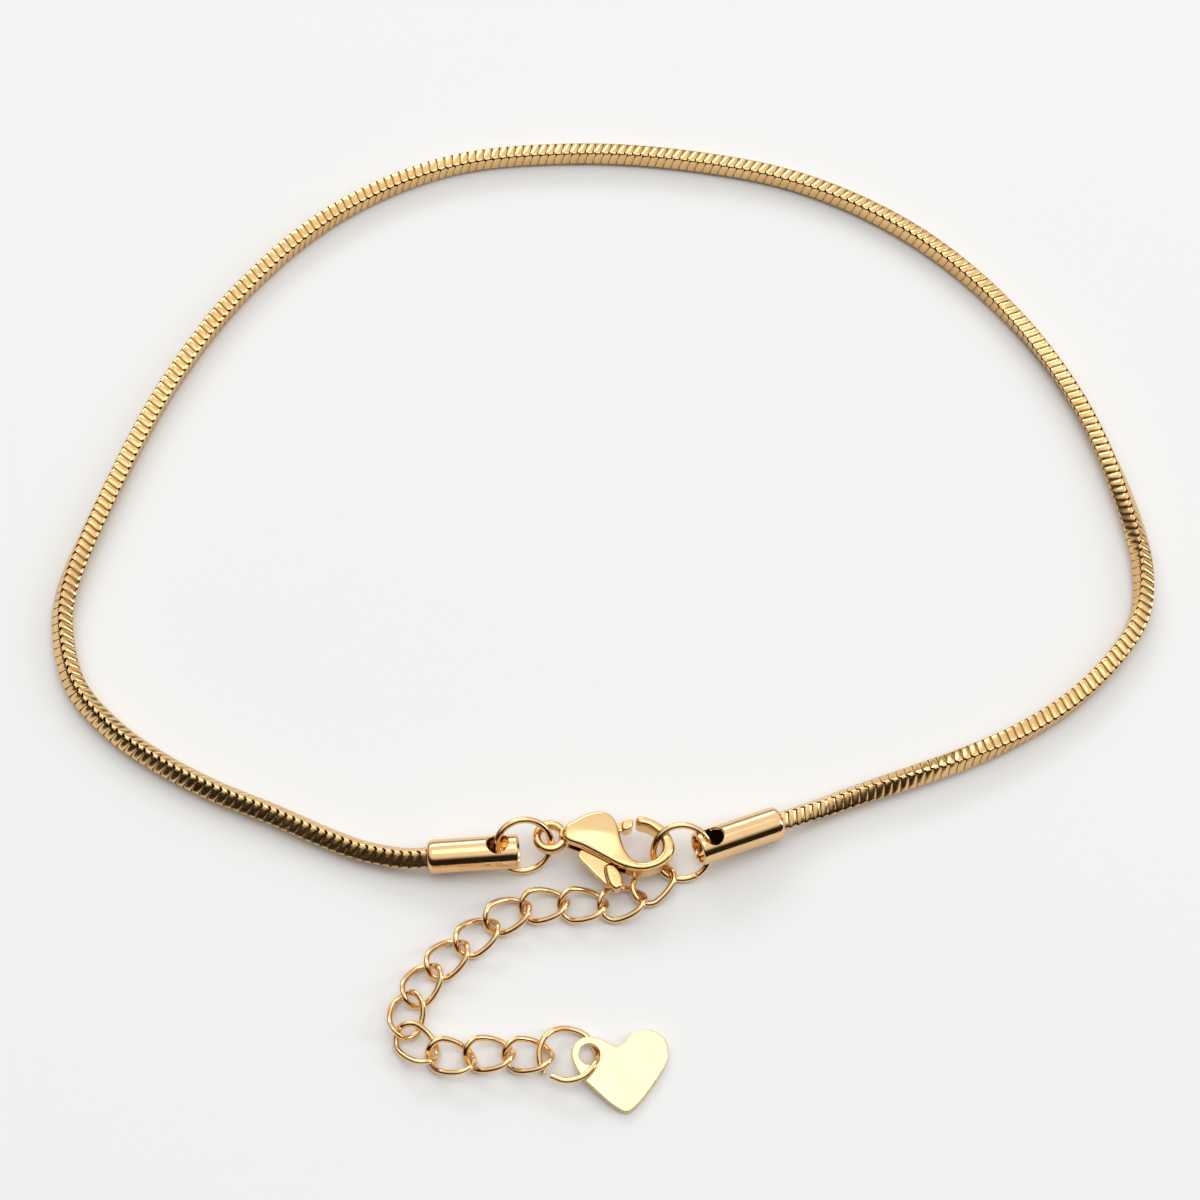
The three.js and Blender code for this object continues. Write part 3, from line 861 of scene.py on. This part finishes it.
@dataclass
class EndCap:
    """Polished tube with a rounded end for the chain and a cross hole for a jump ring."""

    name: str
    ring: JumpRing
    chain_end: Point
    open_end: Point
    hole_from_end: float
    length: float = 6.6
    radius: float = 1.25
    bore: float = 1.0
    neck_bore: float = 0.93
    hole: float = 0.8
    lip: float = 0.09
    drill_back: float = 0.27

    def frame(self) -> Matrix:
        """Carries local X onto the tube's axis and local Z onto the drill."""
        axis = (Vector(self.open_end) - Vector(self.chain_end)).normalized()
        back = Vector((0, 0, 1)).cross(axis).normalized()
        if back.y < 0:
            back.negate()
        drill = back * self.drill_back + Vector((0, 0, 1))
        drill = (drill - axis * drill.dot(axis)).normalized()
        across = drill.cross(axis)
        turn = Matrix((axis, across, drill)).transposed().to_4x4()
        return Matrix.Translation(Vector(self.chain_end)) @ turn

    def profile(self) -> list[tuple[float, float]]:
        """Closed profile of the wall."""
        r, end = self.radius, self.length
        rows = [(self.neck_bore, 0.03), (self.neck_bore + 0.04, 0.0), (1.02, 0.0)]
        for degrees in (20, 40, 60, 80):
            a = math.radians(degrees)
            rows.append((1.02 + (r - 1.02) * math.sin(a), 0.42 * (1 - math.cos(a))))
        rows += [(r, 0.45), (r, end - 0.12), (r - 0.012, end - 0.06), (r - 0.04, end - 0.018)]
        rows += [(r - 0.08, end), (self.bore + 0.05, end), (self.bore + 0.01, end - 0.02)]
        rows += [(self.bore, end - 0.06), (self.bore, 1.3), (self.neck_bore, 1.1)]
        return rows

    def build(self, shop: Workshop) -> None:
        """Turns, drills and delivers the cap."""
        place = self.frame()
        tube = turned(self.name, self.profile(), 112, 0.22)
        tube.transform(place)
        at = self.length - self.hole_from_end
        angle = np.arange(64) * 2 * math.pi / 64
        heights = np.sqrt(self.radius**2 - ((self.hole + self.lip / 2) * np.sin(angle)) ** 2)
        drill = reamer("drill", self.hole, self.lip, heights, 0.05)
        drill.transform(place @ Matrix.Translation((at, 0, 0)))
        body = cut(tube, drill)
        body = crisp(cut(body, self.ring.room(0.06)), 38)
        shop.deliver(f"{self.name}_tube", body, POLISHED_GOLD, Body.ANKLET, self.name)


# ---------------------------------------------------------------- lobster clasp
@dataclass
class LobsterClasp:
    """Cast clasp body with its eye, slot and hinge pin, and the sprung lever."""

    pivot: tuple[float, float] = (1.5, -19.8)
    bottom: float = 0.98
    top: float = 2.63
    slot_bottom: float = 1.42
    slot_height: float = 0.7
    outline: Outline = (
        (-1.1, -21.0), (0.4, -21.6), (1.8, -22.2), (3.2, -22.8), (4.6, -23.0), (5.7, -22.7),
        (6.6, -22.0), (7.0, -21.1), (6.8, -20.2), (6.2, -19.4), (5.2, -18.85), (4.15, -18.7),
        (3.98, -19.0), (4.15, -19.35), (4.9, -19.5), (5.65, -20.0), (6.05, -20.7), (6.0, -21.4),
        (5.5, -22.0), (4.7, -22.3), (4.0, -22.1), (3.4, -21.4), (3.0, -20.4), (2.7, -19.5),
        (2.3, -18.9), (1.5, -18.55), (0.5, -18.8), (-0.4, -19.4), (-1.1, -20.0),
    )
    slot: Outline = (
        (0.8, -19.9), (0.95, -19.25), (1.5, -18.98), (2.2, -19.05), (3.5, -18.7), (3.5, -20.9),
        (2.9, -20.95), (2.85, -21.3), (3.5, -22.5), (3.9, -24.9), (-0.9, -24.9), (-0.75, -21.1),
        (0.1, -20.5),
    )
    lever: Outline = (
        (1.0, -19.8), (1.15, -19.4), (1.5, -19.25), (2.4, -19.2), (3.4, -19.0), (3.4, -19.75),
        (2.5, -20.0), (2.35, -20.6), (2.75, -21.8), (3.15, -22.9), (3.3, -23.6), (3.15, -24.25),
        (2.6, -24.35), (1.8, -23.75), (0.75, -22.8), (0.05, -22.05), (0.15, -21.6), (0.75, -21.1),
        (1.0, -20.5),
    )
    nose: Outline = ((3.12, -19.05), (3.8, -18.95), (3.82, -19.4), (3.6, -19.75), (3.15, -19.8))
    knob: Outline = (
        (2.05, -22.75), (2.55, -22.6), (3.1, -23.0), (3.45, -23.7), (3.4, -24.35), (2.95, -24.6),
        (2.5, -24.3), (2.15, -23.55),
    )

    def blank(self) -> bpy.types.Mesh:
        """Clasp body as cast, before its slot is cut."""
        plate = coin(
            "plate", spline(np.array(self.outline), True, 6), self.bottom, self.top,
            (0.3, 0.42), (0.2, 0.25),
        )
        turn = np.radians(np.arange(72) * 5)
        circle = np.stack([np.cos(turn), np.sin(turn), np.zeros(72)], axis=1) * 0.98
        eye = wire("eye", circle, 0.34, Ends.JOINED, 20)
        eye.transform(Matrix.Translation((-2.1, -20.7, 1.72)) @ Matrix.Diagonal((1, 1, 1.3, 1)))
        neck_line = spline(
            np.array([(-1.45, -20.85), (-1.45, -20.15), (-0.5, -19.95), (-0.5, -21.1)]), True, 8
        )
        neck = coin("neck", neck_line, 1.2, 2.3, (0.2, 0.3), (0.2, 0.3))
        mesh = cast(joined("clasp_blank", [plate, eye, neck]), 0.055, 4)
        for vertex in mesh.vertices:
            x, y, z = vertex.co
            if z > 1.9:
                swell = math.exp(-(((x - 1.1) / 1.5) ** 2) - ((y + 20.3) / 1.1) ** 2)
                vertex.co.z += 0.17 * swell * min(1.0, (z - 1.9) / 0.5)
        return mesh

    def build_body(self, shop: Workshop, rings: list[JumpRing]) -> None:
        """Cuts the slot, sets the pin and delivers the body."""
        slot = coin(
            "slot", np.array(self.slot), self.slot_bottom, self.slot_bottom + self.slot_height,
            (0, 0), (0, 0),
        )
        body = cut(self.blank(), slot)
        for ring in rings:
            body = cut(body, ring.room(0.04))
        turn = np.radians(np.arange(32) * 11.25)
        circle = np.stack([np.cos(turn), np.sin(turn)], axis=1) * 0.28 + np.array(self.pivot)
        pin = coin("pin", circle, self.slot_bottom - 0.2, self.slot_bottom + self.slot_height + 0.2,
                   (0, 0), (0, 0))
        body = crisp(joined("clasp", [body, pin]), 42)
        shop.deliver("clasp_casting", body, CLASP_GOLD, Body.ANKLET, "clasp_body")

    def build_lever(self, shop: Workshop) -> None:
        """Casts the lever with its nose and thumb knob, bores it and delivers it."""
        arm = coin("arm", spline(np.array(self.lever), True, 4), 1.54, 2.0, (0.06, 0.06), (0.06, 0.06))
        nose = coin("nose", spline(np.array(self.nose), True, 5), 1.15, 2.35, (0.12, 0.14), (0.1, 0.1))
        knob = coin("knob", spline(np.array(self.knob), True, 5), 1.45, 2.4, (0.3, 0.4), (0.2, 0.25))
        mesh = cast(joined("lever", [arm, nose, knob]), 0.045, 3)
        turn = np.radians(np.arange(32) * 11.25)
        circle = np.stack([np.cos(turn), np.sin(turn)], axis=1) * 0.34 + np.array(self.pivot)
        mesh = crisp(cut(mesh, coin("bore", circle, 1.2, 2.3, (0, 0), (0, 0))), 42)
        shop.deliver("clasp_lever_casting", mesh, CLASP_GOLD, Body.LEVER, "clasp_lever")


# ---------------------------------------------------------------- extender
@dataclass
class Extender:
    """Twisted oval wire links, the first of them less twisted than the rest."""

    wire: float = 0.23
    bend: float = 1.17
    straight: float = 1.05
    twist: float = -42.0
    first_twist: float = -26.0
    places: tuple[tuple[float, float, float, float], ...] = (
        (5.65, -23.13, 0.58, 231), (3.5, -24.9, 0.74, 202), (0.7, -25.35, 0.74, 186),
        (-2.1, -25.6, 0.74, 194), (-4.7, -26.6, 0.74, 212), (-6.75, -28.45, 0.74, 222),
        (-8.7, -30.35, 0.74, 228), (-10.3, -32.5, 0.74, 242), (-11.15, -34.9, 0.74, 268),
        (-10.2, -37.05, 0.74, 324), (-7.65, -37.75, 0.74, 350), (-5.0, -37.25, 0.74, 6),
        (-2.25, -37.1, 0.74, 3),
    )

    def tree(self) -> bpy.types.NodeTree:
        """Geometry Nodes tree that bends one link and sets it at every place."""
        tree = bpy.data.node_groups.new("TwistedLinks", "GeometryNodeTree")
        add_socket(tree, "Geometry", "Geometry")
        for name, value in (
            ("Wire Radius", self.wire), ("Bend Radius", self.bend), ("Straight", self.straight),
            ("Twist", self.twist),
        ):
            add_socket(tree, name, "Float", value=value)
        add_socket(tree, "Material", "Material")
        add_socket(tree, "Geometry", "Geometry", into=False)
        start, end = add_node(tree, "NodeGroupInput"), add_node(tree, "NodeGroupOutput")
        link = tree.links.new

        def math_node(kind: str, a: object, b: object = None) -> bpy.types.NodeSocket:
            """A maths node on sockets or numbers; returns its result."""
            node = add_node(tree, "ShaderNodeMath", operation=kind)
            for slot, value in zip(node.inputs, (a, b)):
                if isinstance(value, bpy.types.NodeSocket):
                    link(value, slot)
                elif value is not None:
                    slot.default_value = value
            return node.outputs[0]

        ring = add_node(tree, "GeometryNodeCurvePrimitiveCircle", in_Resolution=72)
        section = add_node(tree, "GeometryNodeCurvePrimitiveCircle", in_Resolution=14)
        link(start.outputs["Bend Radius"], ring.inputs["Radius"])
        link(start.outputs["Wire Radius"], section.inputs["Radius"])
        tube = add_node(tree, "GeometryNodeCurveToMesh")
        link(ring.outputs["Curve"], tube.inputs["Curve"])
        link(section.outputs["Curve"], tube.inputs["Profile Curve"])
        here = add_node(tree, "GeometryNodeInputPosition")
        parts = add_node(tree, "ShaderNodeSeparateXYZ")
        link(here.outputs["Position"], parts.inputs["Vector"])
        spread = math_node("MINIMUM", math_node("MAXIMUM", math_node("DIVIDE", parts.outputs["X"], 0.35), -1.0), 1.0)
        half = math_node("MULTIPLY", start.outputs["Straight"], 0.5)
        x = math_node("ADD", parts.outputs["X"], math_node("MULTIPLY", spread, half))
        reach = math_node("ADD", start.outputs["Bend Radius"], half)
        turn = math_node("MULTIPLY", math_node("RADIANS", start.outputs["Twist"]), math_node("DIVIDE", x, reach))
        c, s = math_node("COSINE", turn), math_node("SINE", turn)
        y, z = parts.outputs["Y"], parts.outputs["Z"]
        whole = add_node(tree, "ShaderNodeCombineXYZ")
        link(x, whole.inputs["X"])
        link(math_node("SUBTRACT", math_node("MULTIPLY", y, c), math_node("MULTIPLY", z, s)), whole.inputs["Y"])
        link(math_node("ADD", math_node("MULTIPLY", y, s), math_node("MULTIPLY", z, c)), whole.inputs["Z"])
        bent = add_node(tree, "GeometryNodeSetPosition")
        link(tube.outputs["Mesh"], bent.inputs["Geometry"])
        link(whole.outputs["Vector"], bent.inputs["Position"])
        soft = add_node(tree, "GeometryNodeSetShadeSmooth")
        link(bent.outputs["Geometry"], soft.inputs["Geometry"])
        heading = add_node(tree, "GeometryNodeInputNamedAttribute", data_type="FLOAT", in_Name="heading")
        angles = add_node(tree, "ShaderNodeCombineXYZ")
        link(heading.outputs["Attribute"], angles.inputs["Z"])
        place = add_node(tree, "GeometryNodeInstanceOnPoints")
        link(start.outputs["Geometry"], place.inputs["Points"])
        link(soft.outputs["Geometry"], place.inputs["Instance"])
        link(angles.outputs["Vector"], place.inputs["Rotation"])
        real = add_node(tree, "GeometryNodeRealizeInstances")
        dress = add_node(tree, "GeometryNodeSetMaterial")
        link(place.outputs["Instances"], real.inputs["Geometry"])
        link(real.outputs["Geometry"], dress.inputs["Geometry"])
        link(start.outputs["Material"], dress.inputs["Material"])
        link(dress.outputs["Geometry"], end.inputs["Geometry"])
        return tree

    def build(self, shop: Workshop) -> None:
        """Bends the links and delivers them in two pieces."""
        tree = self.tree()
        for name, first, last, twist in (
            ("extender_first_link", 0, 1, self.first_twist),
            ("extender_links", 1, len(self.places), self.twist),
        ):
            rows = self.places[first:last]
            points = bpy.data.meshes.new(name)
            points.from_pydata([row[:3] for row in rows], [], [])
            heading = points.attributes.new("heading", "FLOAT", "POINT")
            heading.data.foreach_set("value", [math.radians(row[3]) for row in rows])

            def add(obj: bpy.types.Object) -> None:
                """Adds the tree with its sizes."""
                nodes = obj.modifiers.new("links", "NODES")
                nodes.node_group = tree
                set_input(nodes, "Wire Radius", self.wire)
                set_input(nodes, "Bend Radius", self.bend)
                set_input(nodes, "Straight", self.straight)
                set_input(nodes, "Twist", twist)
                set_input(nodes, "Material", shop.materials[POLISHED_GOLD.slot])

            mesh = outward(evaluated(points, add))
            nodes = [f"extender_link_{i + 1:02d}" for i in range(first, last)]
            shop.deliver(name, mesh, POLISHED_GOLD, Body.ANKLET, *nodes)


# ---------------------------------------------------------------- tail ring and heart tag
@dataclass
class HeartTag:
    """Open wire ring at the extender's end, and the flat heart that hangs on it."""

    ring_centre: tuple[float, float] = (0.55, -36.8)
    ring_radius: float = 2.05
    wire: float = 0.23
    rise: tuple[tuple[float, float], ...] = (
        (-122, 0.95), (-90, 1.1), (-55, 1.25), (-25, 1.24), (-14, 1.1), (0, 0.72), (14, 0.38),
        (25, 0.25), (60, 0.25), (95, 0.4), (125, 0.75), (150, 0.95), (180, 0.7), (205, 0.35),
        (222, 0.25),
    )
    thickness: float = 0.42
    hole: Point = (2.0, -36.65, 0.76)
    lean: float = -6.0
    lift: float = 0.04
    lobe: tuple[float, float] = (7.6, -35.8)
    point: tuple[float, float] = (5.0, -40.5)
    outline: Outline = (
        (0.76, -36.9), (0.85, -36.1), (1.5, -35.45), (2.6, -35.4), (4.05, -35.85), (4.9, -34.8),
        (6.1, -34.35), (7.2, -34.8), (7.6, -35.8), (7.4, -36.9), (6.6, -38.5), (5.7, -39.9),
        (5.0, -40.5), (4.1, -40.2), (2.8, -39.3), (1.5, -38.2),
    )

    def ring_line(self) -> np.ndarray:
        """Rows along the open ring's centreline."""
        rows = [
            (
                self.ring_centre[0] + self.ring_radius * math.cos(math.radians(a)),
                self.ring_centre[1] + self.ring_radius * math.sin(math.radians(a)), z,
            )
            for a, z in self.rise
        ]
        return spline(np.array(rows), False, 8)

    def build_ring(self, shop: Workshop) -> None:
        """Bends the open ring and delivers it."""
        mesh = crisp(wire("tail_ring", self.ring_line(), self.wire, Ends.CUT, 20), 35)
        shop.deliver("tail_ring_wire", mesh, POLISHED_GOLD, Body.ANKLET, "tail_ring")

    def build_heart(self, shop: Workshop) -> None:
        """Stamps out the heart, leans it on the ring and delivers it."""
        blank = coin(
            "heart", spline(np.array(self.outline), True, 8), 0, self.thickness,
            (0.1, 0.1), (0.06, 0.06),
        )
        x, y, radius = self.hole
        drill = reamer("drill", radius, 0.06, np.full(56, self.thickness), -0.3)
        drill.transform(Matrix.Translation((x, y, 0)))
        body = cut(blank, drill)
        lobe = Vector((*self.lobe, 0))
        axis = (Vector((*self.point, 0)) - lobe).normalized()
        body.transform(
            Matrix.Translation(lobe + Vector((0, 0, self.lift)))
            @ Matrix.Rotation(math.radians(self.lean), 4, axis)
            @ Matrix.Translation(-lobe)
        )
        body = crisp(cut(body, wire("room", self.ring_line(), self.wire + 0.03, Ends.CUT, 16)), 38)
        shop.deliver("heart_tag_plate", body, TAG_GOLD, Body.ANKLET, "heart_tag")


# ---------------------------------------------------------------- studio
@dataclass
class Studio:
    """Pale floor, soft light and the camera."""

    floor_side: float = 2.4
    floor_tone: float = 0.9
    camera_at: Point = (-0.00065, -0.11149, 0.21269)
    camera_pitch: float = 27.6
    camera_roll: float = 5.0
    lens: float = 94.2

    def camera(self) -> None:
        """Sets the camera."""
        data = bpy.data.cameras.new("camera")
        data.lens, data.sensor_width = self.lens, 36.0
        data.clip_start, data.clip_end = 0.01, 10.0
        camera = bpy.data.objects.new("camera", data)
        bpy.context.scene.collection.objects.link(camera)
        camera.matrix_world = (
            Matrix.Translation(self.camera_at)
            @ Matrix.Rotation(math.radians(self.camera_pitch), 4, "X")
            @ Matrix.Rotation(math.radians(self.camera_roll), 4, "Z")
        )
        bpy.context.scene.camera = camera

    def floor(self) -> None:
        """Lays the floor."""
        h = self.floor_side / 2
        mesh = bpy.data.meshes.new("floor")
        z = -0.00002
        mesh.from_pydata([(-h, -h, z), (h, -h, z), (h, h, z), (-h, h, z)], [], [(0, 1, 2, 3)])
        material = bpy.data.materials.new("pale_floor")
        material.use_nodes = True
        paint = material.node_tree.nodes["Principled BSDF"]
        paint.inputs["Base Color"].default_value = (self.floor_tone, self.floor_tone, self.floor_tone * 0.995, 1)
        paint.inputs["Roughness"].default_value = 0.75
        mesh.materials.append(material)
        floor = bpy.data.objects.new("floor", mesh)
        bpy.context.scene.collection.objects.link(floor)

    def sky(self) -> None:
        """Room light: bright overhead and behind, dark low down in front."""
        world = bpy.data.worlds.new("room")
        bpy.context.scene.world = world
        world.use_nodes = True
        tree = world.node_tree
        tree.nodes.clear()
        link = tree.links.new
        place = add_node(tree, "ShaderNodeTexCoord")
        dot = add_node(tree, "ShaderNodeVectorMath", operation="DOT_PRODUCT")
        dot.inputs[1].default_value = (0.0, 0.36, 0.93)
        ramp = add_node(tree, "ShaderNodeValToRGB")
        ramp.color_ramp.interpolation = "EASE"
        stops = ramp.color_ramp.elements
        stops[0].position, stops[0].color = 0.3, (0.02, 0.015, 0.011, 1)
        stops[1].position, stops[1].color = 0.68, (1.0, 1.0, 0.992, 1)
        glow = add_node(tree, "ShaderNodeBackground", in_Strength=1.0)
        out = add_node(tree, "ShaderNodeOutputWorld")
        link(place.outputs["Generated"], dot.inputs[0])
        link(dot.outputs["Value"], ramp.inputs["Fac"])
        link(ramp.outputs["Color"], glow.inputs["Color"])
        link(glow.outputs["Background"], out.inputs["Surface"])

    def softbox(self, name: str, at: Point, size: tuple[float, float], power: float) -> None:
        """Adds a soft area light that looks at the object.

        Args:
            name: Name of the light.
            at: Its place in metres.
            size: Its two sides in metres.
            power: Its power in watts.
        """
        data = bpy.data.lights.new(name, "AREA")
        data.shape, data.size, data.size_y, data.energy = "RECTANGLE", *size, power
        data.color = (1.0, 1.0, 0.995)
        light = bpy.data.objects.new(name, data)
        bpy.context.scene.collection.objects.link(light)
        light.location = at
        light.rotation_euler = (-Vector(at)).to_track_quat("-Z", "Y").to_euler()

    def build(self) -> None:
        """Sets up the whole studio."""
        self.camera()
        self.floor()
        self.sky()
        self.softbox("overhead", (0.0, 0.08, 0.8), (0.6, 0.4), 0.78)
        self.softbox("back", (-0.25, 0.75, 0.42), (0.7, 0.2), 1.9)
        self.softbox("side", (0.8, 0.05, 0.4), (0.25, 0.4), 1.4)
        bpy.context.scene.view_settings.view_transform = "Standard"


def main() -> None:
    """Builds the anklet and its studio."""
    logging.basicConfig(level=logging.INFO, format="%(name)s: %(message)s")
    Studio().build()
    shop = Workshop()
    shop.open()
    SnakeChain().build(shop)
    left = JumpRing("jump_ring_left", (-4.0, -21.55, 1.76), 2.03, 47, 4, 12, 205)
    right = JumpRing("jump_ring_right", (7.55, -20.95, 1.66), 2.08, 43, -3, 6, 300)
    for ring in (left, right):
        ring.build(shop)
    EndCap("end_cap_left", left, (-10.8, -22.9, 1.25), (-4.3, -22.1, 2.0), 1.45).build(shop)
    EndCap("end_cap_right", right, (14.5, -17.7, 1.25), (8.6, -20.8, 2.0), 1.15).build(shop)
    clasp = LobsterClasp()
    clasp.build_body(shop, [left, right])
    clasp.build_lever(shop)
    Extender().build(shop)
    tag = HeartTag()
    tag.build_ring(shop)
    tag.build_heart(shop)


if __name__ == "__main__":
    main()
